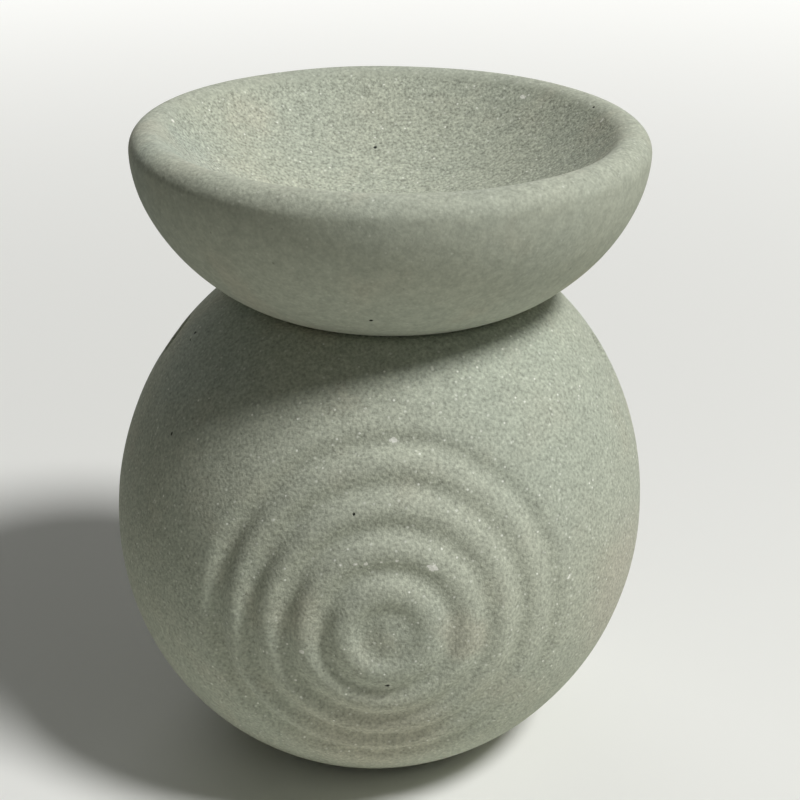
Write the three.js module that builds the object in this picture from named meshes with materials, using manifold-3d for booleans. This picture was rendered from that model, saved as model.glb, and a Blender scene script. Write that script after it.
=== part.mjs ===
// Tealight oil burner: a hollow stoneware globe with a loose dish on its neck and a tealight inside.
// Millimetres, +Z up. The origin is the centre of the flat base. The rippled front faces -Y, the door +Y.
import * as THREE from 'three';
import { mergeVertices } from 'three/addons/utils/BufferGeometryUtils.js';
import Module from 'manifold-3d';

const wasm = await Module();
wasm.setup();

// ---- driving dimensions: globe ----
const globeRadius = 47.5; // at the widest ring
const bellyDrop = 49.1; // half height of the lower half, before the base flattens it
const crownRise = 51.4; // half height of the upper half, before the neck cuts it
const baseRadius = 23.3; // flat underside
const globeWall = 5.5;
const floorThickness = 8;
const lean = 1.2; // degrees: the hand-made globe leans this far towards +X
const neckBend = 0.6; // and its crown bends this much further by the height of the neck

// ---- driving dimensions: neck and dish ----
const neckRadius = 26.2; // outer edge of the neck's flat top
const neckWall = 4;
const spigotClearance = 1.6; // radial play of the dish's foot ring in the neck
const spigotHeight = 4;
const spigotWall = 3.2;
const dishSetback = 0.5; // the dish's seat is this much smaller than the neck
const dishRadius = 43.5; // outer edge of the rim
const dishHeight = 28.1; // from the neck's top to the top of the rim
const rimWidth = 6.85; // of the full-round rim
const rimTurn = 50; // degrees past its top where the rim's round runs into the hollow
const sideHandle = 9.95; // how far the dish's outer wall keeps going straight down from the rim
const underHandle = 9.95; // how far it keeps going straight out from the seat
const underSlope = 21; // degrees of that stretch above the level

// ---- driving dimensions: door, vents and ripples ----
const doorClearance = 4; // between the tealight's lip and each side of the door
const doorHeight = 40;
const ventRadius = 3.7;
const vents = [
  { azimuth: 0, rise: 34 }, // degrees from +X towards +Y, and up the crown
  { azimuth: 174.5, rise: 36 },
];
const rippleTurn = 1.4; // degrees that the ripples' middle is turned from the front towards +X
const ripplePitch = 7.7; // degrees between grooves, seen from the globe's centre
const rippleDepth = 1.05;
const rippleWidth = 5.2; // degrees, from one brow of a groove to the other
const dimpleFloor = 4.5; // degrees from the ripples' middle to the edge of the dimple's floor
const grooves = [5 / 3, 8 / 3, 11 / 3, 14 / 3]; // pitches from the ripples' middle

// ---- driving dimensions: tealight ----
const cupRadius = 19;
const cupHeight = 16;
const cupWall = 0.4;
const cupLip = 0.5; // the rolled edge stands out this far
const waxDrop = 2; // wax surface below the cup's edge
const waxGap = 0.2;
const plateRadius = 6;
const plateThickness = 0.4;
const collarHeight = 4;
const collarWall = 0.5;
const wickRadius = 0.9;
const wickGap = 0.15;
const wickLength = 20;

// ---- mesh fineness ----
const around = 48; // a multiple of 4, so that the widest points are corners
const dishAround = 56;
const profileSteps = 10;
const rippleSteps = 6; // for each ripple

// ---- worked-out sizes ----
const ellipseHeight = (radius, outerRadius, halfHeight) => halfHeight * Math.sqrt(1 - (radius / outerRadius) ** 2);
const widestHeight = ellipseHeight(baseRadius, globeRadius, bellyDrop);
const neckTop = widestHeight + ellipseHeight(neckRadius, globeRadius, crownRise);
const neckBore = neckRadius - neckWall;
const innerRadius = globeRadius - globeWall;
const innerDrop = bellyDrop - globeWall;
const innerRise = crownRise - globeWall;
const doorHalfWidth = cupRadius + cupLip + doorClearance;
const leanSlope = Math.tan(THREE.MathUtils.degToRad(lean));
const neckShift = leanSlope * (neckTop - widestHeight) + neckBend;
const dishShift = neckShift + spigotClearance * 0.1; // the loose dish sits a little off centre in its play

// ---- geometry helpers ----
const degrees = THREE.MathUtils.degToRad;

function toSolid(geometry) {
  const bare = geometry.clone();
  bare.deleteAttribute('normal');
  bare.deleteAttribute('uv');
  const merged = mergeVertices(bare, 1e-4);
  const index = merged.index.array;
  const triangles = [];
  for (let i = 0; i < index.length; i += 3) {
    const [a, b, c] = index.subarray(i, i + 3);
    if (a !== b && b !== c && c !== a) triangles.push(a, b, c);
  }
  const vertProperties = new Float32Array(merged.attributes.position.array);
  return new wasm.Manifold(new wasm.Mesh({ numProp: 3, vertProperties, triVerts: new Uint32Array(triangles) }));
}

function toGeometry(solid) {
  const mesh = solid.getMesh();
  const geometry = new THREE.BufferGeometry();
  geometry.setAttribute('position', new THREE.BufferAttribute(mesh.vertProperties, 3));
  geometry.setIndex(new THREE.BufferAttribute(mesh.triVerts, 1));
  geometry.computeVertexNormals();
  return geometry;
}

// A profile of (radius, height) points that starts low on the axis and ends high on it, spun round Z.
function spin(points, segments = around) {
  const profile = points.map(([radius, height]) => new THREE.Vector2(radius, height));
  const geometry = new THREE.LatheGeometry(profile, segments);
  geometry.rotateX(Math.PI / 2);
  return geometry;
}

function curvePoints(curve, steps = profileSteps) {
  return curve.getPoints(steps).map((point) => [point.x, point.y]);
}

function ellipseArc(outerRadius, halfHeight, fromHeight, toHeight, centre) {
  const from = Math.asin(fromHeight / halfHeight);
  const to = Math.asin(toHeight / halfHeight);
  const points = [];
  for (let i = 0; i <= profileSteps; i += 1) {
    const angle = from + ((to - from) * i) / profileSteps;
    points.push([outerRadius * Math.cos(angle), centre + halfHeight * Math.sin(angle)]);
  }
  return points;
}

// ---- globe ----
// How far the surface is from the globe's centre, at an angle from the ripples' middle: a flat-floored
// dimple and then grooves, all with soft sides.
function rippledRadius(angle) {
  const distances = grooves.map((place) => Math.abs(angle - place * ripplePitch));
  distances.push(Math.max(angle - dimpleFloor, 0));
  const offset = Math.min(...distances) / (rippleWidth / 2);
  if (offset > 1) return globeRadius;
  return globeRadius - (rippleDepth * (1 + Math.cos(Math.PI * offset))) / 2;
}

// The outside is spun round the ripples' axis and then stretched to its height.
function globeOutside() {
  const ripples = grooves.at(-1) + 0.5;
  const rippleEnd = ripples * ripplePitch;
  const angles = [];
  for (let i = 0; i < rippleSteps * ripples; i += 1) angles.push((i * ripplePitch) / rippleSteps);
  for (let i = 0; i < profileSteps; i += 1) angles.push(rippleEnd + ((90 - rippleEnd) * i) / profileSteps);
  for (let i = 0; i <= 2 * profileSteps; i += 1) angles.push(90 + (90 * i) / (2 * profileSteps));
  const profile = angles.map((angle) => {
    const radius = rippledRadius(angle);
    return new THREE.Vector2(radius * Math.sin(degrees(angle)), -radius * Math.cos(degrees(angle)));
  });
  const geometry = new THREE.LatheGeometry(profile, around);
  geometry.rotateZ(degrees(rippleTurn));
  const position = geometry.attributes.position;
  for (let i = 0; i < position.count; i += 1) {
    const height = position.getZ(i);
    const stretch = (height > 0 ? crownRise : bellyDrop) / globeRadius;
    position.setZ(i, widestHeight + height * stretch);
  }
  const slab = new THREE.BoxGeometry(globeRadius * 3, globeRadius * 3, neckTop);
  slab.translate(0, 0, neckTop / 2);
  return toSolid(geometry).intersect(toSolid(slab));
}

function chamber() {
  const boreHeight = ellipseHeight(neckBore, innerRadius, innerRise);
  const aboveNeck = neckTop + globeWall;
  return toSolid(spin([
    [0, floorThickness],
    ...ellipseArc(innerRadius, innerDrop, floorThickness - widestHeight, 0, widestHeight),
    ...ellipseArc(innerRadius, innerRise, 0, boreHeight, widestHeight).slice(1),
    [neckBore, aboveNeck],
    [0, aboveNeck],
  ]));
}

function door() {
  const outline = new THREE.Shape();
  const springLine = floorThickness + doorHeight - doorHalfWidth;
  outline.moveTo(-doorHalfWidth, floorThickness);
  outline.lineTo(doorHalfWidth, floorThickness);
  outline.lineTo(doorHalfWidth, springLine);
  outline.absarc(0, springLine, doorHalfWidth, 0, Math.PI, false);
  const depth = globeRadius * 1.5;
  const geometry = new THREE.ExtrudeGeometry(outline, { depth, bevelEnabled: false, curveSegments: 20 });
  geometry.rotateX(Math.PI / 2);
  geometry.translate(0, depth, 0);
  return toSolid(geometry);
}

// A level round hole through the crown, pointing at the globe's axis.
function vent({ azimuth, rise }) {
  const height = widestHeight + crownRise * Math.sin(degrees(rise));
  const drill = new THREE.CylinderGeometry(ventRadius, ventRadius, globeRadius, 24);
  drill.rotateZ(-Math.PI / 2);
  drill.translate(globeRadius, 0, height);
  drill.rotateZ(degrees(azimuth));
  return toSolid(drill);
}

// The globe with its hollow, door and vents leans as one, about its widest line.
function leanOver(geometry) {
  const position = geometry.attributes.position;
  for (let i = 0; i < position.count; i += 1) {
    const height = position.getZ(i) - widestHeight;
    const bend = neckBend * (Math.max(height, 0) / (neckTop - widestHeight)) ** 2;
    position.setX(i, position.getX(i) + leanSlope * height + bend);
  }
  geometry.computeVertexNormals();
  return geometry;
}

function burnerBody() {
  let solid = globeOutside().subtract(chamber()).subtract(door());
  for (const hole of vents) solid = solid.subtract(vent(hole));
  return leanOver(toGeometry(solid));
}

// ---- dish ----
// The hollow is part of a sphere that the rim's round runs into smoothly.
function oilDish() {
  const rimRadius = rimWidth / 2;
  const rimCentre = dishRadius - rimRadius;
  const rimHeight = neckTop + dishHeight - rimRadius;
  const seatRadius = neckRadius - dishSetback;
  const slope = degrees(underSlope);
  const turn = degrees(rimTurn);
  const hollowRadius = rimCentre / Math.sin(turn) - rimRadius;
  const hollowCentre = rimHeight + rimCentre / Math.tan(turn);
  const spigotOuter = neckBore - spigotClearance;
  const outside = new THREE.CubicBezierCurve(
    new THREE.Vector2(seatRadius, neckTop),
    new THREE.Vector2(seatRadius + underHandle * Math.cos(slope), neckTop + underHandle * Math.sin(slope)),
    new THREE.Vector2(dishRadius, rimHeight - sideHandle),
    new THREE.Vector2(dishRadius, rimHeight),
  );
  const rim = new THREE.EllipseCurve(rimCentre, rimHeight, rimRadius, rimRadius, 0, Math.PI / 2 + turn);
  const hollow = new THREE.EllipseCurve(
    0, hollowCentre, hollowRadius, hollowRadius, turn - Math.PI / 2, -Math.PI / 2, true,
  );
  return toGeometry(toSolid(spin([
    [0, neckTop],
    [spigotOuter - spigotWall, neckTop],
    [spigotOuter - spigotWall, neckTop - spigotHeight],
    [spigotOuter, neckTop - spigotHeight],
    [spigotOuter, neckTop],
    ...curvePoints(outside),
    ...curvePoints(rim).slice(1),
    ...curvePoints(hollow).slice(1),
  ], dishAround)));
}

// ---- tealight, standing on the chamber floor ----
const cupFloor = floorThickness + cupWall;
const waxRadius = cupRadius - cupWall - waxGap;
const waxTop = floorThickness + cupHeight - waxDrop;
const wickFoot = cupFloor + plateThickness;
const collarBore = wickRadius + wickGap;
const collarRadius = collarBore + collarWall;
const collarTop = wickFoot + collarHeight;

function tealightCup() {
  const top = floorThickness + cupHeight;
  return spin([
    [0, floorThickness],
    [cupRadius, floorThickness],
    [cupRadius, top - cupLip],
    [cupRadius + cupLip, top - cupLip],
    [cupRadius + cupLip, top],
    [cupRadius - cupWall, top],
    [cupRadius - cupWall, cupFloor],
    [0, cupFloor],
  ]);
}

// The wax is cast round the plate and collar, and the wick runs up through it.
function tealightWax() {
  return spin([
    [plateRadius + waxGap, cupFloor],
    [waxRadius, cupFloor],
    [waxRadius, waxTop],
    [collarBore, waxTop],
    [collarBore, collarTop + waxGap],
    [collarRadius + waxGap, collarTop + waxGap],
    [collarRadius + waxGap, wickFoot + waxGap],
    [plateRadius + waxGap, wickFoot + waxGap],
    [plateRadius + waxGap, cupFloor],
  ]);
}

function wickSustainer() {
  return spin([
    [0, cupFloor],
    [plateRadius, cupFloor],
    [plateRadius, wickFoot],
    [collarRadius, wickFoot],
    [collarRadius, collarTop],
    [collarBore, collarTop],
    [collarBore, wickFoot],
    [0, wickFoot],
  ], 32);
}

function tealightWick() {
  return spin([
    [0, wickFoot],
    [wickRadius, wickFoot],
    [wickRadius, wickFoot + wickLength],
    [0, wickFoot + wickLength],
  ], 16);
}

// ---- assembly ----
function piece(name, geometry, color, roughness, metalness = 0) {
  const mesh = new THREE.Mesh(geometry, new THREE.MeshStandardMaterial({ color, roughness, metalness }));
  mesh.name = name;
  return mesh;
}

const burner = new THREE.Group();
burner.add(piece('burner_body', burnerBody(), 0x8b9186, 0.9));

const dish = piece('oil_dish', oilDish(), 0x8d9185, 0.9);
dish.position.x = dishShift;
burner.add(dish);

const tealight = new THREE.Group();
tealight.add(piece('tealight_cup', tealightCup(), 0xc8cacc, 0.35, 0.9));
tealight.add(piece('tealight_wax', tealightWax(), 0xf1ece0, 0.55));
tealight.add(piece('wick_sustainer', wickSustainer(), 0xb9babb, 0.4, 0.9));
tealight.add(piece('tealight_wick', tealightWick(), 0xe6dfcf, 0.9));
burner.add(tealight);

export default burner;
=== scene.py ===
"""Tealight oil burner in sandy, unglazed stoneware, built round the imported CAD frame.

Metres, +Z up. The rippled front faces -Y, the candle door +Y. Sizes in millimetres are multiplied by MM.
"""

import math

import bpy
import numpy as np
from mathutils import Matrix, Vector, noise


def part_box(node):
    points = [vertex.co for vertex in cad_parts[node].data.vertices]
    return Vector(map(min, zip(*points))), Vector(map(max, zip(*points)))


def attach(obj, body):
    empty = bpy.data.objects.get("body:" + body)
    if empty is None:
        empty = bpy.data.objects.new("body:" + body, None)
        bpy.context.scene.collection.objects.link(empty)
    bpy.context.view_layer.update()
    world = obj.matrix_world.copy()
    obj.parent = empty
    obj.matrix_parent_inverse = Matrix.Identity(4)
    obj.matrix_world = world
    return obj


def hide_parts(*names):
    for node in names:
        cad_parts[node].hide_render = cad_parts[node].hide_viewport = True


MM = 0.001
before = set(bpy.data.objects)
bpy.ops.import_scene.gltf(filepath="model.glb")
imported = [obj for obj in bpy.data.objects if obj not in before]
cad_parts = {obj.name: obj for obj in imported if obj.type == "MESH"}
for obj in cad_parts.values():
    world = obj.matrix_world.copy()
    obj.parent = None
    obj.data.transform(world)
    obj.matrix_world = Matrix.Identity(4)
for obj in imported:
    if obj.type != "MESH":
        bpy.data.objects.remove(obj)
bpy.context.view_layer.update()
scene = bpy.context.scene

# ---- sizes taken from the frame ----
_, body_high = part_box("burner_body")
dish_low, dish_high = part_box("oil_dish")
cup_low, cup_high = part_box("tealight_cup")
wax_low, wax_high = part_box("tealight_wax")
plate_low, plate_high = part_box("wick_sustainer")
wick_low, wick_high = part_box("tealight_wick")
GLOBE_RADIUS = body_high.x
NECK_TOP = body_high.z
FLOOR_TOP = cup_low.z
DISH_RADIUS = dish_high.y
DISH_TOP = dish_high.z
DISH_SHIFT = (dish_low.x + dish_high.x) / 2

# ---- sizes that the frame's boxes don't give ----
BELLY_DROP = 49.1 * MM
CROWN_RISE = 51.4 * MM
BASE_RADIUS = 23.3 * MM
GLOBE_WALL = 5.5 * MM
LEAN = 1.2  # degrees towards +X
NECK_BEND = 0.6 * MM
NECK_RADIUS = 26.2 * MM
NECK_WALL = 4 * MM
DOOR_CLEARANCE = 4 * MM
DOOR_HEIGHT = 40 * MM
VENT_RADIUS = 3.7 * MM
VENTS = [(0, 34), (174.5, 36)]  # degrees round from +X, and degrees up the crown
RIPPLE_TURN = 1.4  # degrees that the ripples' middle is turned from the front towards +X
RIPPLE_PITCH = 7.7  # degrees between grooves
RIPPLE_DEPTH = 1.05 * MM
DIMPLE_FLOOR = 4.5  # degrees from the ripples' middle
GROOVES = [5 / 3, 8 / 3, 11 / 3, 14 / 3]  # pitches from the ripples' middle
DISH_SETBACK = 0.5 * MM
RIM_WIDTH = 6.85 * MM
RIM_TURN = 50  # degrees past its top where the rim's round runs into the hollow
SIDE_HANDLE = 9.95 * MM
UNDER_HANDLE = 9.95 * MM
UNDER_SLOPE = 24  # degrees above the level, where the dish's wall leaves its seat
SPIGOT_CLEARANCE = 1.6 * MM
SPIGOT_WALL = 3.2 * MM
CUP_WALL = 0.4 * MM

# ---- worked-out sizes ----
WIDEST_HEIGHT = BELLY_DROP * math.sqrt(1 - (BASE_RADIUS / GLOBE_RADIUS) ** 2)
NECK_BORE = NECK_RADIUS - NECK_WALL
INNER_RADIUS = GLOBE_RADIUS - GLOBE_WALL
INNER_DROP = BELLY_DROP - GLOBE_WALL
INNER_RISE = CROWN_RISE - GLOBE_WALL
DOOR_HALF_WIDTH = cup_high.x + DOOR_CLEARANCE
DOOR_SPRING = FLOOR_TOP + DOOR_HEIGHT - DOOR_HALF_WIDTH
RIPPLE_TURNED = Matrix.Rotation(math.radians(RIPPLE_TURN), 3, "Z")
RIPPLE_AXIS = RIPPLE_TURNED @ Vector((0, -1, 0))
LEAN_SLOPE = math.tan(math.radians(LEAN))
RIM_RADIUS = RIM_WIDTH / 2
RIM_CENTRE = DISH_RADIUS - RIM_RADIUS  # from the dish's axis
RIM_HEIGHT = DISH_TOP - RIM_RADIUS
HOLLOW_RADIUS = RIM_CENTRE / math.sin(math.radians(RIM_TURN)) - RIM_RADIUS
HOLLOW_CENTRE = RIM_HEIGHT + RIM_CENTRE / math.tan(math.radians(RIM_TURN))  # height

# ---- rounded edges and hand-made unevenness ----
ROUNDED_TO = 1.2 * MM  # an edge is fully rounded this far from it
UNTOUCHED_FROM = 3.2 * MM  # and not at all from here on
CRISP_VENT = 2 * MM  # added to the distance from a vent's rim
CRISP_NECK = 1.8 * MM  # added to the distance from the neck's outer rim
RIPPLE_WANDER = 0.45  # degrees
DEEPER_LEFT = 0.3  # share of the depth that the ripples gain at the left and lose at the right
UNEVEN_DEPTH = 0.3  # share of the depth that comes and goes along a ripple
NEAR_OUTSIDE = 0.8 * MM  # points this close to the outside are put back on it
FLAT_BAND = 0.6 * MM  # but not this close to the base or the neck's top
UNEVEN_GLOBE = 0.06 * MM
UNEVEN_DISH = 0.07 * MM
UNEVEN_RIM = 0.1 * MM
OUTSIDE_GRAIN = 0.25  # how grainy the dish's outside is; its hollow is 1
RIM_GRAIN = 0.3  # how much grainier its rim is than its outside

# ---- mesh fineness ----
VOXEL = 0.84 * MM
GLOBE_STEPS = 240
DISH_STEPS = 288


# ---- camera and light ----
def add_camera():
    """The camera stands where the photographer stood: close, about 28 degrees above the globe's middle."""
    in_front = 269.69 * MM
    height = 185.71 * MM
    turned_right = 0.7714  # degrees
    looking_down = 24.502  # degrees
    tilted = 0.5  # degrees
    data = bpy.data.cameras.new("camera")
    data.sensor_width = 36
    data.lens = 74.42
    data.clip_start = 0.01
    camera = bpy.data.objects.new("camera", data)
    scene.collection.objects.link(camera)
    turn = Matrix.Rotation(math.radians(-turned_right), 4, "Z")
    tip = Matrix.Rotation(math.radians(90 - looking_down), 4, "X")
    roll = Matrix.Rotation(math.radians(tilted), 4, "Z")
    place = Matrix.Translation((0, -in_front, height))
    camera.matrix_world = place @ turn @ tip @ roll
    scene.camera = camera


def add_lamp(name, azimuth, elevation, distance, size, level, colour=(1, 1, 1)):
    """A round soft lamp aimed at the object. At level 1 a white face square to it renders white."""
    data = bpy.data.lights.new(name, "AREA")
    data.shape = "DISK"
    data.size = size
    data.energy = level * (math.pi * distance) ** 2
    data.color = colour
    lamp = bpy.data.objects.new(name, data)
    scene.collection.objects.link(lamp)
    across = math.cos(math.radians(elevation))
    direction = Vector((
        across * math.cos(math.radians(azimuth)),
        across * math.sin(math.radians(azimuth)),
        math.sin(math.radians(elevation)),
    ))
    target = Vector((0, 0, DISH_TOP / 2))
    lamp.location = target + direction * distance
    lamp.rotation_euler = direction.to_track_quat("Z", "Y").to_euler()


def add_world(level):
    """Even light from all round, which the camera and reflections see as white."""
    world = bpy.data.worlds.new("studio")
    world.use_nodes = True
    tree = world.node_tree
    tree.nodes.clear()
    path = tree.nodes.new("ShaderNodeLightPath")
    camera_or_gloss = tree.nodes.new("ShaderNodeMath")
    camera_or_gloss.operation = "MAXIMUM"
    seen = tree.nodes.new("ShaderNodeMath")
    seen.operation = "MAXIMUM"
    tree.links.new(path.outputs["Is Camera Ray"], camera_or_gloss.inputs[0])
    tree.links.new(path.outputs["Is Glossy Ray"], camera_or_gloss.inputs[1])
    tree.links.new(camera_or_gloss.outputs[0], seen.inputs[0])
    tree.links.new(path.outputs["Is Transmission Ray"], seen.inputs[1])
    lighting = tree.nodes.new("ShaderNodeBackground")
    lighting.inputs["Color"].default_value = (0.98, 1, 0.88, 1)
    lighting.inputs["Strength"].default_value = level
    backdrop = tree.nodes.new("ShaderNodeBackground")
    backdrop.inputs["Color"].default_value = (1, 1, 1, 1)
    backdrop.inputs["Strength"].default_value = 1
    mix = tree.nodes.new("ShaderNodeMixShader")
    output = tree.nodes.new("ShaderNodeOutputWorld")
    tree.links.new(seen.outputs[0], mix.inputs[0])
    tree.links.new(lighting.outputs[0], mix.inputs[1])
    tree.links.new(backdrop.outputs[0], mix.inputs[2])
    tree.links.new(mix.outputs[0], output.inputs[0])
    scene.world = world


# ---- materials ----
class Nodes:
    """A short way to write a material's nodes."""

    def __init__(self, name):
        self.material = bpy.data.materials.new(name)
        self.material.use_nodes = True
        self.tree = self.material.node_tree
        self.shader = self.tree.nodes["Principled BSDF"]

    def add(self, kind, inputs=(), output=0, **settings):
        """A node with its settings and inputs, and the output that the next node reads."""
        node = self.tree.nodes.new("ShaderNode" + kind)
        for key, value in settings.items():
            setattr(node, key, value)
        for key, value in dict(inputs).items():
            self.put(node.inputs[key], value)
        return node.outputs[output]

    def put(self, socket, value):
        if isinstance(value, bpy.types.NodeSocket):
            self.tree.links.new(value, socket)
        else:
            socket.default_value = value

    def math(self, operation, first, second=0.0):
        return self.add("Math", {0: first, 1: second}, operation=operation)

    def noise(self, where, size, detail=2.0, roughness=0.5):
        """Noise from 0 to 1 with lumps of about that size, in metres."""
        return self.add("TexNoise", {
            "Vector": where, "Scale": 1 / size, "Detail": detail, "Roughness": roughness,
        })

    def ramp(self, value, start, end, low=0.0, high=1.0):
        """A soft step from low to high as the value goes from start to end."""
        return self.add("MapRange", {
            "Value": value, "From Min": start, "From Max": end, "To Min": low, "To Max": high,
        }, interpolation_type="SMOOTHSTEP")

    def mix(self, factor, first, second, blend="MIX"):
        node = self.tree.nodes.new("ShaderNodeMix")
        node.data_type = "RGBA"
        node.blend_type = blend
        self.put(node.inputs["Factor"], factor)
        self.put(node.inputs["A"], first)
        self.put(node.inputs["B"], second)
        return node.outputs["Result"]

    def away(self, where, place):
        """Distance from a place on the object."""
        return self.add("VectorMath", {0: where, 1: tuple(place)}, output=1, operation="DISTANCE")

    def specks(self, where, spacing, size, share):
        """Small spots on a random share of cells: 1 in a spot, 0 outside."""
        node = self.tree.nodes.new("ShaderNodeTexVoronoi")
        self.put(node.inputs["Vector"], where)
        self.put(node.inputs["Scale"], 1 / spacing)
        pick = self.add("SeparateColor", {"Color": node.outputs["Color"]})
        chosen = self.math("LESS_THAN", pick, share)
        reach = size / spacing
        spot = self.ramp(node.outputs["Distance"], reach, reach * 0.45)
        return self.math("MULTIPLY", spot, chosen)


def srgb(red, green, blue):
    """A colour written as 0 to 255 on screen, as the linear colour that nodes take."""
    def linear(value):
        value /= 255
        return value / 12.92 if value <= 0.04045 else ((value + 0.055) / 1.055) ** 2.4
    return (linear(red), linear(green), linear(blue), 1)


def clay_colour(nodes, where, elsewhere, tints):
    """Soft clouds of colour, and each tint round its place."""
    clouds = nodes.noise(where, 26 * MM, 3, 0.55)
    colour = nodes.mix(nodes.ramp(clouds, 0.42, 0.68), CLAY, CLAY_COOL)
    warmth = nodes.noise(elsewhere, 15 * MM, 3)
    colour = nodes.mix(nodes.ramp(warmth, 0.5, 0.74, 0, 0.8), colour, CLAY_WARM)
    wander = nodes.math("MULTIPLY", nodes.math("SUBTRACT", warmth, 0.5), 14 * MM)
    for place, reach, tint, strength in tints:
        away = nodes.math("ADD", nodes.away(where, place), wander)
        colour = nodes.mix(nodes.ramp(away, reach, reach * 0.3, 0, strength), colour, tint)
    return colour


def sanded(nodes, colour, where, elsewhere, grainy):
    """Pale sand, painted glints on the grains and faint dark grains over the colour."""
    sand = nodes.specks(where, 1.3 * MM, 0.3 * MM, 0.45)
    # painted glints: pale specks that stand in for light glinting off the sand's grains
    painted_glints = nodes.specks(elsewhere, 1.9 * MM, 0.26 * MM, 0.4)
    colour = nodes.mix(nodes.math("MULTIPLY", sand, nodes.math("MULTIPLY", grainy, 0.45)), colour, SAND)
    colour = nodes.mix(nodes.math("MULTIPLY", painted_glints, nodes.math("MULTIPLY", grainy, 0.9)), colour, SAND)
    dark = nodes.specks(where, 3.2 * MM, 0.3 * MM, 0.25)
    return nodes.mix(nodes.math("MULTIPLY", dark, 0.35), colour, DARK_GRAIN)


def pitted(nodes, where, centred, pits):
    """1 in a pit, 0 outside: a few scattered ones and those at given places."""
    holes = nodes.specks(where, 17 * MM, 0.38 * MM, 0.3)
    for place, size in pits:
        away = nodes.math("ADD", nodes.away(where, place), nodes.math("MULTIPLY", centred, size))
        holes = nodes.math("MAXIMUM", holes, nodes.ramp(away, size, size * 0.5))
    return holes


def stoneware(name, grain_level, blotch_size, blotch_level, tints, chips, pits, smooth_side=None):
    """Unglazed clay with sand in it: soft clouds of colour, grain, pale sand with painted glints, pits
    painted near black with their shade and a few chips.

    Tints are (place, reach, colour, strength); chips and pits are (place, size). Where the point attribute
    named by smooth_side is 0 the clay is smooth.
    """
    nodes = Nodes(name)
    where = nodes.add("TexCoord", output=3)
    grainy = 1.0
    if smooth_side:
        grainy = nodes.add("Attribute", output=2, attribute_name=smooth_side)
    elsewhere = nodes.add("VectorMath", {0: where, 1: (0.3, 0.1, 0.7)}, operation="ADD")
    colour = clay_colour(nodes, where, elsewhere, tints)
    blotches = nodes.noise(where, blotch_size, 2, 0.6)
    grain = nodes.noise(where, 0.55 * MM, 2, 0.6)
    centred = nodes.math("SUBTRACT", grain, 0.5)
    swing = nodes.math("MULTIPLY", centred, nodes.math("MULTIPLY", grainy, grain_level * 4))
    shade = nodes.math("ADD", swing, nodes.ramp(blotches, 0.25, 0.75, 1 - blotch_level, 1 + blotch_level))
    colour = nodes.mix(1.0, colour, nodes.add("CombineColor", {0: shade, 1: shade, 2: shade}), "MULTIPLY")
    colour = sanded(nodes, colour, where, elsewhere, grainy)
    holes = pitted(nodes, where, centred, pits)
    # painted shade: the pits are coloured near black for the shade that falls inside them
    colour = nodes.mix(holes, colour, PIT_SHADE)
    for place, size in chips:
        away = nodes.math("ADD", nodes.away(where, place), nodes.math("MULTIPLY", centred, size * 2.4))
        colour = nodes.mix(nodes.ramp(away, size, size * 0.5), colour, CHIPPED)
    nodes.put(nodes.shader.inputs["Base Color"], colour)
    nodes.shader.inputs["Roughness"].default_value = 0.88
    nodes.shader.inputs["Specular IOR Level"].default_value = 0.25
    height = nodes.math("MULTIPLY", grain, nodes.math("MULTIPLY", grainy, 0.8))
    height = nodes.math("ADD", height, nodes.math("MULTIPLY", blotches, 0.4))
    height = nodes.math("SUBTRACT", height, nodes.math("MULTIPLY", holes, 1.5))
    bump = nodes.add("Bump", {"Height": height, "Strength": 0.6, "Distance": 0.3 * MM})
    nodes.put(nodes.shader.inputs["Normal"], bump)
    return nodes.material


def metal(name, colour, roughness, streak):
    """Thin drawn sheet: fine marks that run round the piece, and soft dulling."""
    nodes = Nodes(name)
    where = nodes.add("TexCoord", output=3)
    stretched = nodes.add("Mapping", {"Vector": where, "Scale": (1, 1, 14)})
    marks = nodes.noise(stretched, streak, 3, 0.6)
    dull = nodes.noise(where, 6 * MM, 2)
    brightness = nodes.ramp(marks, 0.3, 0.7, 0.93, 1.0)
    level = nodes.math("ADD", brightness, nodes.ramp(dull, 0.3, 0.7, -0.05, 0.0))
    tone = nodes.add("CombineColor", {0: level, 1: level, 2: level})
    nodes.put(nodes.shader.inputs["Base Color"], nodes.mix(1.0, colour, tone, "MULTIPLY"))
    rough = nodes.ramp(marks, 0.25, 0.75, roughness - 0.06, roughness + 0.08)
    nodes.put(nodes.shader.inputs["Roughness"], rough)
    nodes.shader.inputs["Metallic"].default_value = 1
    bump = nodes.add("Bump", {"Height": marks, "Strength": 0.25, "Distance": 0.05 * MM})
    nodes.put(nodes.shader.inputs["Normal"], bump)
    return nodes.material


def candle_wax():
    """Pressed paraffin: nearly white, a little see-through, with faint frosting and tiny beads."""
    nodes = Nodes("candle_wax")
    where = nodes.add("TexCoord", output=3)
    frost = nodes.noise(where, 4 * MM, 4, 0.6)
    beads = nodes.noise(where, 0.9 * MM, 2)
    colour = nodes.mix(nodes.ramp(frost, 0.35, 0.7), srgb(240, 235, 220), srgb(250, 247, 238))
    nodes.put(nodes.shader.inputs["Base Color"], colour)
    nodes.put(nodes.shader.inputs["Roughness"], nodes.ramp(frost, 0.3, 0.7, 0.38, 0.52))
    nodes.shader.inputs["Subsurface Weight"].default_value = 0.35
    nodes.shader.inputs["Subsurface Radius"].default_value = (1, 0.8, 0.6)
    nodes.shader.inputs["Subsurface Scale"].default_value = 2 * MM
    height = nodes.math("ADD", nodes.math("MULTIPLY", frost, 0.6), nodes.math("MULTIPLY", beads, 0.4))
    bump = nodes.add("Bump", {"Height": height, "Strength": 0.3, "Distance": 0.15 * MM})
    nodes.put(nodes.shader.inputs["Normal"], bump)
    return nodes.material


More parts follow.
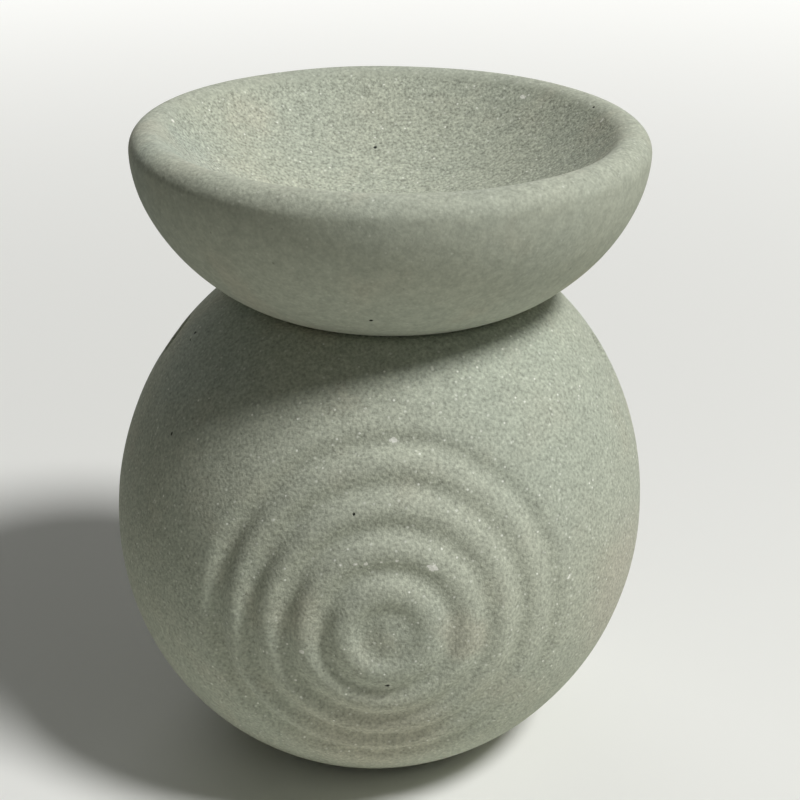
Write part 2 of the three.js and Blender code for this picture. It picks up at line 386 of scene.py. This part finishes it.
def cotton():
    """Waxed cotton yarn."""
    nodes = Nodes("cotton_wick")
    where = nodes.add("TexCoord", output=3)
    fibres = nodes.noise(nodes.add("Mapping", {"Vector": where, "Scale": (1, 1, 0.3)}), 0.12 * MM, 2)
    colour = nodes.mix(nodes.ramp(fibres, 0.3, 0.7), srgb(222, 214, 196), srgb(245, 240, 228))
    nodes.put(nodes.shader.inputs["Base Color"], colour)
    nodes.shader.inputs["Roughness"].default_value = 0.8
    bump = nodes.add("Bump", {"Height": fibres, "Strength": 0.5, "Distance": 0.06 * MM})
    nodes.put(nodes.shader.inputs["Normal"], bump)
    return nodes.material


# ---- mesh helpers ----
def new_object(name, points, faces, material=None, smooth=True):
    mesh = bpy.data.meshes.new(name)
    mesh.from_pydata([tuple(point) for point in points], [], faces)
    mesh.validate()
    mesh.update()
    if smooth:
        mesh.shade_smooth()
    obj = bpy.data.objects.new(name, mesh)
    scene.collection.objects.link(obj)
    if material:
        mesh.materials.append(material)
    return obj


def spun(profile, around):
    """Points and faces of a closed surface: (radius, height) points spun round Z, from axis to axis."""
    rings = np.array(profile[1:-1])
    angle = np.arange(around) * 2 * math.pi / around
    points = [(0, 0, profile[0][1])]
    for radius, height in rings:
        points.extend(zip(radius * np.cos(angle), radius * np.sin(angle), np.full(around, height)))
    points.append((0, 0, profile[-1][1]))
    last = len(points) - 1
    top = 1 + (len(rings) - 1) * around
    faces = []
    for i in range(around):
        j = (i + 1) % around
        faces.append((0, 1 + j, 1 + i))
        faces.append((last, top + i, top + j))
    for ring in range(len(rings) - 1):
        low = 1 + ring * around
        high = low + around
        for i in range(around):
            j = (i + 1) % around
            faces.append((low + i, low + j, high + j, high + i))
    return np.array(points), faces


def bezier(start, start_handle, end_handle, end, steps):
    t = np.linspace(0, 1, steps + 1)[:, None]
    start, start_handle, end_handle, end = (np.array(p) for p in (start, start_handle, end_handle, end))
    return ((1 - t) ** 3 * start + 3 * (1 - t) ** 2 * t * start_handle
            + 3 * (1 - t) * t ** 2 * end_handle + t ** 3 * end)


def arc(centre, radius, start, end, steps):
    """Points on a circle from one angle to another, in degrees."""
    angle = np.radians(np.linspace(start, end, steps + 1))
    return np.stack([centre[0] + radius * np.cos(angle), centre[1] + radius * np.sin(angle)], 1)


def soft_step(value, start, end):
    t = np.clip((value - start) / (end - start), 0, 1)
    return t * t * (3 - 2 * t)


def lumps(points, size, seed):
    """Smooth noise from -1 to 1 at each point, with lumps of that size."""
    shift = Vector((seed * 3.7, seed * 1.9, seed * 5.3))
    return np.array([noise.noise(Vector(point) / size + shift) for point in points])


def points_of(obj):
    points = np.empty(len(obj.data.vertices) * 3)
    obj.data.vertices.foreach_get("co", points)
    return points.reshape(-1, 3)


def move_points(obj, points):
    obj.data.vertices.foreach_set("co", points.ravel())
    obj.data.update()


def relax(points, edges, weight, rounds):
    """Moves each point towards the middle of its neighbours, as far as its weight says."""
    count = np.bincount(edges.ravel(), minlength=len(points))[:, None]
    for _ in range(rounds):
        total = np.zeros_like(points)
        for axis in range(3):
            total[:, axis] = np.bincount(edges[:, 0], points[edges[:, 1], axis], len(points))
            total[:, axis] += np.bincount(edges[:, 1], points[edges[:, 0], axis], len(points))
        points = points + 0.6 * weight[:, None] * (total / count - points)
    return points


# ---- globe ----
def rippled_radius(angle, depth=RIPPLE_DEPTH):
    """Distance of the outside from the globe's centre, at an angle in degrees from the ripples' middle."""
    away = np.maximum(angle - DIMPLE_FLOOR, 0)
    for place in GROOVES:
        away = np.minimum(away, np.abs(angle - place * RIPPLE_PITCH))
    offset = np.minimum(away / (RIPPLE_PITCH / 2), 1)
    return GLOBE_RADIUS - depth * ((1 + np.cos(np.pi * offset)) / 2) ** 1.3


def stretch(height):
    """How much taller than round the globe is, above and below its widest line."""
    return np.where(height > 0, CROWN_RISE, BELLY_DROP) / GLOBE_RADIUS


def globe_outside():
    angle = np.linspace(0, 180, GLOBE_STEPS)
    radius = rippled_radius(angle)
    profile = np.stack([radius * np.sin(np.radians(angle)), -radius * np.cos(np.radians(angle))], 1)
    points, faces = spun(profile, GLOBE_STEPS)
    points = points[:, (0, 2, 1)] @ np.array(RIPPLE_TURNED).T
    z = points[:, 2]
    points[:, 2] = np.clip(WIDEST_HEIGHT + z * stretch(z), 0, NECK_TOP)
    return new_object("globe", points, [face[::-1] for face in faces])


def leaned(across, height):
    """Where a point of the upright globe stands once the globe leans and its crown bends."""
    up = height - WIDEST_HEIGHT
    bend = NECK_BEND * (np.maximum(up, 0) / (NECK_TOP - WIDEST_HEIGHT)) ** 2
    return across + LEAN_SLOPE * up + bend


def on_globe(turn, height):
    """A place on the globe's outside, by its angle in degrees from the front and height in millimetres."""
    up = height * MM - WIDEST_HEIGHT
    rise = up / (CROWN_RISE if up > 0 else BELLY_DROP)
    out = math.sqrt(1 - rise ** 2)
    way = Vector((out * math.sin(math.radians(turn)), -out * math.cos(math.radians(turn)), rise))
    place = way * float(rippled_radius(math.degrees(way.angle(RIPPLE_AXIS))))
    height = WIDEST_HEIGHT + place.z * float(stretch(place.z))
    return Vector((leaned(place.x, height), place.y, height))


def on_dish(turn, radius, height):
    """A place on the dish, by its angle in degrees from the front, and radius and height in millimetres."""
    angle = math.radians(turn)
    return Vector((DISH_SHIFT + radius * MM * math.sin(angle), -radius * MM * math.cos(angle), height * MM))


def ellipse_profile(radius, half_height, low, high, steps):
    angle = np.linspace(math.asin(low / half_height), math.asin(high / half_height), steps + 1)
    return np.stack([radius * np.cos(angle), WIDEST_HEIGHT + half_height * np.sin(angle)], 1)


def chamber():
    bore_height = INNER_RISE * math.sqrt(1 - (NECK_BORE / INNER_RADIUS) ** 2)
    above = NECK_TOP + GLOBE_WALL
    profile = np.concatenate([
        [(0, FLOOR_TOP)],
        ellipse_profile(INNER_RADIUS, INNER_DROP, FLOOR_TOP - WIDEST_HEIGHT, 0, 40),
        ellipse_profile(INNER_RADIUS, INNER_RISE, 0, bore_height, 40)[1:],
        [(NECK_BORE, above), (0, above)],
    ])
    return new_object("chamber", *spun(profile, GLOBE_STEPS))


def door():
    """An arch with a flat sill, as deep as the back half of the globe."""
    low = [(-DOOR_HALF_WIDTH, FLOOR_TOP), (DOOR_HALF_WIDTH, FLOOR_TOP)]
    outline = low + [tuple(point) for point in arc((0, DOOR_SPRING), DOOR_HALF_WIDTH, 0, 180, 90)]
    count = len(outline)
    points = [(x, depth, z) for depth in (0, 1.5 * GLOBE_RADIUS) for x, z in outline]
    faces = [tuple(range(count)), tuple(range(2 * count - 1, count - 1, -1))]
    for i in range(count):
        j = (i + 1) % count
        faces.append((i, count + i, count + j, j))
    return new_object("door", points, faces, smooth=False)


def vent_axis(azimuth, rise):
    """A point on a vent's axis and the direction of its level axis."""
    centre = Vector((0, 0, WIDEST_HEIGHT + CROWN_RISE * math.sin(math.radians(rise))))
    return centre, Vector((math.cos(math.radians(azimuth)), math.sin(math.radians(azimuth)), 0))


def vent(azimuth, rise):
    centre, direction = vent_axis(azimuth, rise)
    profile = [(0, 0), (VENT_RADIUS, 0), (VENT_RADIUS, 1.5 * GLOBE_RADIUS), (0, 1.5 * GLOBE_RADIUS)]
    drill = new_object("vent", *spun(profile, 64))
    turn = direction.to_track_quat("Z", "Y").to_matrix().to_4x4()
    drill.data.transform(Matrix.Translation(centre) @ turn)
    return drill


def near_edges(points):
    """1 beside the rims of the door, the neck's bore and the base, 0 away from them.

    The vents' rims and the neck's outer rim count as further off than they are, so they stay crisper.
    """
    x, y, z = points.T
    radius = np.hypot(x, y)
    arch = np.where(z > DOOR_SPRING, np.hypot(x, z - DOOR_SPRING), np.abs(x)) - DOOR_HALF_WIDTH
    sill = FLOOR_TOP - z
    from_door = np.where(y > 0, np.abs(np.maximum(arch, sill)), 1)
    nearest = from_door
    for azimuth, rise in VENTS:
        centre, direction = vent_axis(azimuth, rise)
        relative = points - np.array(centre)
        along = relative @ np.array(direction)
        across = np.linalg.norm(relative - along[:, None] * np.array(direction), axis=1)
        from_vent = np.where(along > 0, np.abs(across - VENT_RADIUS) + CRISP_VENT, 1)
        nearest = np.minimum(nearest, from_vent)
    nearest = np.minimum(nearest, np.hypot(radius - NECK_RADIUS, z - NECK_TOP) + CRISP_NECK)
    for edge_radius, edge_height in ((NECK_BORE, NECK_TOP), (BASE_RADIUS, 0)):
        nearest = np.minimum(nearest, np.hypot(radius - edge_radius, z - edge_height))
    return 1 - soft_step(nearest, ROUNDED_TO, UNTOUCHED_FROM)


def snap_outside(points, free):
    """Puts the points near the rippled outside back on it, except by the rounded edges.

    The ripples are drawn by hand, so they wander a little, and they are deeper at the left.
    """
    relative = points - np.array((0, 0, WIDEST_HEIGHT))
    round_points = relative.copy()
    round_points[:, 2] /= stretch(relative[:, 2])
    distance = np.linalg.norm(round_points, axis=1)
    along = round_points @ np.array(RIPPLE_AXIS)
    angle = np.degrees(np.arccos(np.clip(along / distance, -1, 1)))
    wander = RIPPLE_WANDER * lumps(points, 16 * MM, 7)
    to_left = -round_points[:, 0] / np.maximum(np.hypot(round_points[:, 0], round_points[:, 2]), MM)
    depth = RIPPLE_DEPTH * (1 + DEEPER_LEFT * to_left + UNEVEN_DEPTH * lumps(points, 18 * MM, 8))
    wanted = rippled_radius(angle + wander, depth)
    flat = (points[:, 2] < FLAT_BAND) | (points[:, 2] > NECK_TOP - FLAT_BAND)
    on_outside = (np.abs(distance - wanted) < NEAR_OUTSIDE) & ~flat
    scale = np.where(on_outside, 1 + free * (wanted / distance - 1), 1)
    return relative * scale[:, None] + np.array((0, 0, WIDEST_HEIGHT)), on_outside


def cut_globe(material):
    """The upright globe with its chamber, neck, door and vents cut out, as an even mesh."""
    body = globe_outside()
    cutters = [chamber(), door()] + [vent(*place) for place in VENTS]
    for cutter in cutters:
        cut = body.modifiers.new("cut", "BOOLEAN")
        cut.operation = "DIFFERENCE"
        cut.solver = "EXACT"
        cut.object = cutter
    remesh = body.modifiers.new("remesh", "REMESH")
    remesh.mode = "VOXEL"
    remesh.voxel_size = VOXEL
    evaluated = body.evaluated_get(bpy.context.evaluated_depsgraph_get())
    mesh = bpy.data.meshes.new_from_object(evaluated)
    for old in [body] + cutters:
        bpy.data.objects.remove(old)
    obj = bpy.data.objects.new("burner_stoneware", mesh)
    scene.collection.objects.link(obj)
    mesh.materials.clear()
    mesh.materials.append(material)
    mesh.shade_smooth()
    return obj


def edge_ends(mesh):
    """The two points of each edge."""
    edges = np.empty(len(mesh.edges) * 2, int)
    mesh.edges.foreach_get("vertices", edges)
    return edges.reshape(-1, 2)


def burner_body(material):
    """The globe is cut, rounded and given a hand-made surface while upright, and leans only at the end."""
    obj = cut_globe(material)
    points = points_of(obj)
    edges = edge_ends(obj.data)
    edge_weight = near_edges(points)
    points = relax(points, edges, np.full(len(points), 0.8), 2)
    points = relax(points, edges, edge_weight, 14)
    points, outside = snap_outside(points, 1 - edge_weight)
    uneven = lumps(points, 13 * MM, 1) + 0.5 * lumps(points, 5 * MM, 2)
    inward = -points / np.linalg.norm(points - np.array((0, 0, WIDEST_HEIGHT)), axis=1)[:, None]
    inward[:, 2] = 0
    points += inward * ((uneven + 1.5) * UNEVEN_GLOBE * outside)[:, None]
    points[:, 2] = np.clip(points[:, 2], 0, NECK_TOP)
    points[:, 0] = leaned(points[:, 0], points[:, 2])
    move_points(obj, points)
    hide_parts("burner_body")
    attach(obj, "burner")


# ---- dish ----
def dish_profile():
    """The dish's outline, from the axis below round the foot ring, wall and rim to the hollow's middle."""
    seat_radius = NECK_RADIUS - DISH_SETBACK
    spigot_outer = NECK_BORE - SPIGOT_CLEARANCE
    spigot_inner = spigot_outer - SPIGOT_WALL
    slope = math.radians(UNDER_SLOPE)
    foot = dish_low.z
    fillet = 1 * MM
    seat_round = 0.5 * MM
    outside = bezier(
        (seat_radius, NECK_TOP),
        (seat_radius + UNDER_HANDLE * math.cos(slope), NECK_TOP + UNDER_HANDLE * math.sin(slope)),
        (DISH_RADIUS, RIM_HEIGHT - SIDE_HANDLE),
        (DISH_RADIUS, RIM_HEIGHT), 60)
    return np.concatenate([
        [(0, NECK_TOP), (spigot_inner - fillet, NECK_TOP)],
        arc((spigot_inner - fillet, NECK_TOP - fillet), fillet, 90, 0, 6)[1:],
        arc((spigot_inner + fillet, foot + fillet), fillet, 180, 270, 6),
        arc((spigot_outer - fillet, foot + fillet), fillet, 270, 360, 6),
        [(spigot_outer, NECK_TOP - seat_round), (spigot_outer + seat_round, NECK_TOP)],
        outside,
        arc((RIM_CENTRE, RIM_HEIGHT), RIM_RADIUS, 0, 90 + RIM_TURN, 36)[1:],
        arc((0, HOLLOW_CENTRE), HOLLOW_RADIUS, RIM_TURN - 90, -90, 80)[1:],
    ])


def dish_grain(points, radius, on_rim):
    """How grainy the dish is at each point: fully in the hollow, less on the rim, little outside."""
    from_hollow = HOLLOW_RADIUS - np.hypot(radius, points[:, 2] - HOLLOW_CENTRE)
    inside = (np.abs(from_hollow) < 0.6 * MM) & (radius < RIM_CENTRE)
    ragged = radius + lumps(points, 3 * MM, 6) * 0.5 * MM
    inner_side = inside * (1 - soft_step(ragged, RIM_CENTRE - 3.2 * MM, RIM_CENTRE - 1.6 * MM))
    return np.maximum(inner_side, OUTSIDE_GRAIN + RIM_GRAIN * on_rim)


def oil_dish(material):
    points, faces = spun(dish_profile(), DISH_STEPS)
    radius = np.hypot(points[:, 0], points[:, 1])
    on_rim = soft_step(points[:, 2], RIM_HEIGHT - 1 * MM, DISH_TOP)
    grainy = dish_grain(points, radius, on_rim)
    uneven = lumps(points, 15 * MM, 3) + 0.4 * lumps(points, 5 * MM, 4)
    seated = soft_step(points[:, 2], NECK_TOP + 1 * MM, NECK_TOP + 6 * MM)
    outward = np.stack([points[:, 0], points[:, 1], np.zeros(len(points))], 1)
    outward /= np.maximum(radius, 1e-6)[:, None]
    points -= outward * ((uneven + 1.4) * UNEVEN_DISH * seated)[:, None]
    points[:, 2] -= (lumps(points, 20 * MM, 5) + 1) * UNEVEN_RIM * on_rim
    points[:, 0] += DISH_SHIFT
    obj = new_object("oil_dish_stoneware", points, faces, material)
    attribute = obj.data.attributes.new("grainy", "FLOAT", "POINT")
    attribute.data.foreach_set("value", grainy.astype(np.float32))
    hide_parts("oil_dish")
    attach(obj, "dish")


# ---- tealight ----
def tealight_cup(material):
    """A drawn foil cup with a soft bottom edge and an outward rolled lip."""
    lip = 0.5 * MM
    lip_radius = cup_high.x - lip
    wall_outer = lip_radius
    bend = 1.2 * MM
    inner = wall_outer - CUP_WALL
    profile = np.concatenate([
        [(0, cup_low.z + 0.25 * MM), (10 * MM, cup_low.z + 0.25 * MM), (10.6 * MM, cup_low.z)],
        [(wall_outer - bend, cup_low.z)],
        arc((wall_outer - bend, cup_low.z + bend), bend, 270, 360, 8)[1:],
        [(wall_outer, cup_high.z - 2 * lip)],
        arc((lip_radius, cup_high.z - lip), lip, -80, 180, 16),
        [(inner, cup_high.z - 2 * lip), (inner, cup_low.z + bend)],
        arc((inner - bend + CUP_WALL, cup_low.z + bend), bend - CUP_WALL, 0, -90, 6)[1:],
        [(0, cup_low.z + CUP_WALL)],
    ])
    finish_tealight("foil_cup", spun(profile, 128), material, "tealight_cup")


def tealight_wax(material):
    """Wax cast round the plate and collar, higher where it clings to the cup and the wick."""
    outer = wax_high.x
    bore = 1.05 * MM
    low = wax_low.z
    top = wax_high.z - 0.35 * MM
    collar_radius = 1.75 * MM
    collar_top = plate_high.z + 0.2 * MM
    plate_radius = plate_high.x + 0.2 * MM
    plate_top = plate_low.z + 0.6 * MM
    climb = 0.35 * MM
    surface = [(outer, top + climb)]
    for radius in np.linspace(outer - 0.2 * MM, bore + 0.2 * MM, 40):
        from_wall = math.exp(-(outer - radius) / (0.7 * MM))
        from_wick = math.exp(-(radius - bore) / (0.8 * MM))
        surface.append((radius, top + climb * max(from_wall, from_wick)))
    surface.append((bore, top + climb))
    profile = np.array(
        [(plate_radius, low), (outer - 0.9 * MM, low), (outer, low + 0.9 * MM)] + surface
        + [(bore, collar_top), (collar_radius, collar_top), (collar_radius, plate_top)]
        + [(plate_radius, plate_top)])
    finish_tealight("wax", ring(profile, 128), material, "tealight_wax")


def ring(profile, around):
    """Points and faces of a closed outline spun round Z clear of the axis."""
    angle = np.arange(around) * 2 * math.pi / around
    points = []
    for radius, height in profile:
        points.extend(zip(radius * np.cos(angle), radius * np.sin(angle), np.full(around, height)))
    faces = []
    count = len(profile)
    for row in range(count):
        low = row * around
        high = ((row + 1) % count) * around
        for i in range(around):
            j = (i + 1) % around
            faces.append((low + i, low + j, high + j, high + i))
    return np.array(points), faces


def wick_sustainer(material):
    """A stamped plate with a crimped collar."""
    edge = 0.12 * MM
    plate_top = plate_low.z + 0.4 * MM
    radius = plate_high.x
    collar_outer = 1.55 * MM
    collar_inner = 1.05 * MM
    profile = [
        (0, plate_low.z), (radius - edge, plate_low.z), (radius, plate_low.z + edge),
        (radius, plate_top - edge), (radius - edge, plate_top), (collar_outer + 0.5 * MM, plate_top),
        (collar_outer, plate_top + 0.5 * MM), (collar_outer, plate_high.z - edge),
        (collar_outer - edge, plate_high.z), (collar_inner + edge, plate_high.z),
        (collar_inner, plate_high.z - edge), (collar_inner, plate_top), (0, plate_top),
    ]
    finish_tealight("wick_holder", spun(profile, 64), material, "wick_sustainer")


def tealight_wick(material):
    """Three waxed strands twisted together."""
    strand = 0.46 * MM
    lay = 0.41 * MM
    pitch = 5 * MM
    low = wick_low.z
    high = wick_high.z
    sides = 10
    rows = 90
    points = []
    faces = []
    for start in (0, 120, 240):
        base = len(points)
        for row in range(rows + 1):
            share = row / rows
            height = low + share * (high - low)
            turn = math.radians(start) + 2 * math.pi * (height - low) / pitch
            end = min(share, 1 - share) * rows
            size = strand * (0.55 if end < 0.5 else 0.9 if end < 1.5 else 1)
            for side in range(sides):
                angle = 2 * math.pi * side / sides
                out = lay + size * math.cos(angle)
                across = size * math.sin(angle)
                x = out * math.cos(turn) - across * math.sin(turn)
                y = out * math.sin(turn) + across * math.cos(turn)
                points.append((x, y, height))
        for row in range(rows):
            for side in range(sides):
                next_side = (side + 1) % sides
                a = base + row * sides
                faces.append((a + side, a + next_side, a + sides + next_side, a + sides + side))
        faces.append(tuple(base + side for side in reversed(range(sides))))
        faces.append(tuple(base + rows * sides + side for side in range(sides)))
    finish_tealight("wick", (np.array(points), faces), material, "tealight_wick")


def finish_tealight(name, shape, material, node):
    points, faces = shape
    obj = new_object(name, points, faces, material)
    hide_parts(node)
    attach(obj, "tealight")


# ---- floor ----
def add_floor():
    """A plain pale floor, so large that its edge is far away.

    It throws back much light only from a patch at the front right. Far away, where the lamps don't reach, it
    still looks pale.
    """
    side = 6
    nodes = Nodes("floor")
    away = nodes.away(nodes.add("TexCoord", output=3), (85 * MM, -60 * MM, 0))
    thrown = nodes.mix(nodes.ramp(away, 130 * MM, 300 * MM), (0.84, 0.84, 0.78, 1), (0.25, 0.25, 0.23, 1))
    seen = nodes.add("LightPath", output="Is Camera Ray")
    colour = nodes.mix(seen, thrown, (0.84, 0.84, 0.825, 1))
    nodes.put(nodes.shader.inputs["Base Color"], colour)
    nodes.shader.inputs["Emission Color"].default_value = (1, 1, 0.985, 1)
    glow = nodes.ramp(away, 150 * MM, 1100 * MM, 0, 0.5)
    nodes.put(nodes.shader.inputs["Emission Strength"], nodes.math("MULTIPLY", seen, glow))
    nodes.shader.inputs["Roughness"].default_value = 0.9
    nodes.shader.inputs["Specular IOR Level"].default_value = 0.1
    corners = [(-side, -side, 0), (side, -side, 0), (side, side, 0), (-side, side, 0)]
    floor = new_object("floor", corners, [(0, 1, 2, 3)], nodes.material)
    floor.location.z = -0.1 * MM


# ---- build ----
scene.view_settings.view_transform = "Standard"
add_camera()
add_world(0.095)
add_lamp("key", azimuth=-28, elevation=55, distance=1.8, size=0.42, level=0.92, colour=(1, 1, 0.985))
add_lamp("back", azimuth=105, elevation=28, distance=1.5, size=1.2, level=0.16)
add_floor()

CLAY = srgb(176, 180, 165)
CLAY_COOL = srgb(173, 178, 164)
CLAY_WARM = srgb(180, 180, 164)
SAND = srgb(236, 238, 229)
CHIPPED = srgb(236, 236, 228)
DARK_GRAIN = srgb(84, 86, 76)
# near black: the painted shade inside the pits
PIT_SHADE = srgb(34, 35, 31)
BLUISH = srgb(170, 178, 169)
SAGE = srgb(173, 180, 166)
BEIGE = srgb(180, 178, 164)
RUST = srgb(181, 176, 159)

body_tints = [
    (on_globe(-62, 80), 20 * MM, BLUISH, 0.6),
    (on_globe(48, 74), 26 * MM, SAGE, 0.6),
    (on_globe(-40, 52), 16 * MM, SAGE, 0.4),
    (on_globe(64, 38), 18 * MM, BEIGE, 0.8),
    (on_globe(0, 18), 18 * MM, RUST, 0.5),
    (on_globe(17, 42), 5 * MM, RUST, 0.4),
]
body_chips = [
    (on_globe(2, 73.5), 0.7 * MM),
    (on_globe(10, 54.7), 0.9 * MM),
    (on_globe(41, 47.3), 0.5 * MM),
    (on_globe(-15, 39.2), 0.5 * MM),
    (on_globe(-17, 32.3), 0.4 * MM),
]
body_chips += [(on_globe(turn, 55.8 + 0.07 * turn), 0.35 * MM) for turn in (-8, -5, -3, 0, 3)]
body_pits = [
    (on_globe(2, 33), 0.5 * MM),
    (on_globe(-76, 79), 0.4 * MM),
    (on_globe(-75, 78), 0.3 * MM),
    (on_globe(-57, 67), 0.4 * MM),
    (on_globe(-6, 63), 0.3 * MM),
]
dish_tints = [
    (on_dish(-80, 33, 106), 18 * MM, BLUISH, 0.5),
    (on_dish(0, 5, 96), 20 * MM, BEIGE, 0.6),
]
dish_chips = [
    (on_dish(-98, 37, 112.5), 0.6 * MM),
    (on_dish(138, 36.3, 111.2), 0.6 * MM),
    (on_dish(102, 37.2, 112), 0.5 * MM),
]
dish_pits = [
    (on_dish(-174, 25.2, 102.2), 0.4 * MM),
    (on_dish(-5, 34.3, 91.8), 0.4 * MM),
]
burner_body(stoneware("sandy_stoneware", 0.33, 2.4 * MM, 0.06, body_tints, body_chips, body_pits))
dish_clay = stoneware(
    "sandy_stoneware_dish", 0.45, 1.7 * MM, 0.09, dish_tints, dish_chips, dish_pits, "grainy")
oil_dish(dish_clay)
tealight_cup(metal("cup_aluminium", srgb(226, 227, 228), 0.3, 1.2 * MM))
tealight_wax(candle_wax())
wick_sustainer(metal("tinned_steel", srgb(200, 200, 198), 0.35, 0.8 * MM))
tealight_wick(cotton())
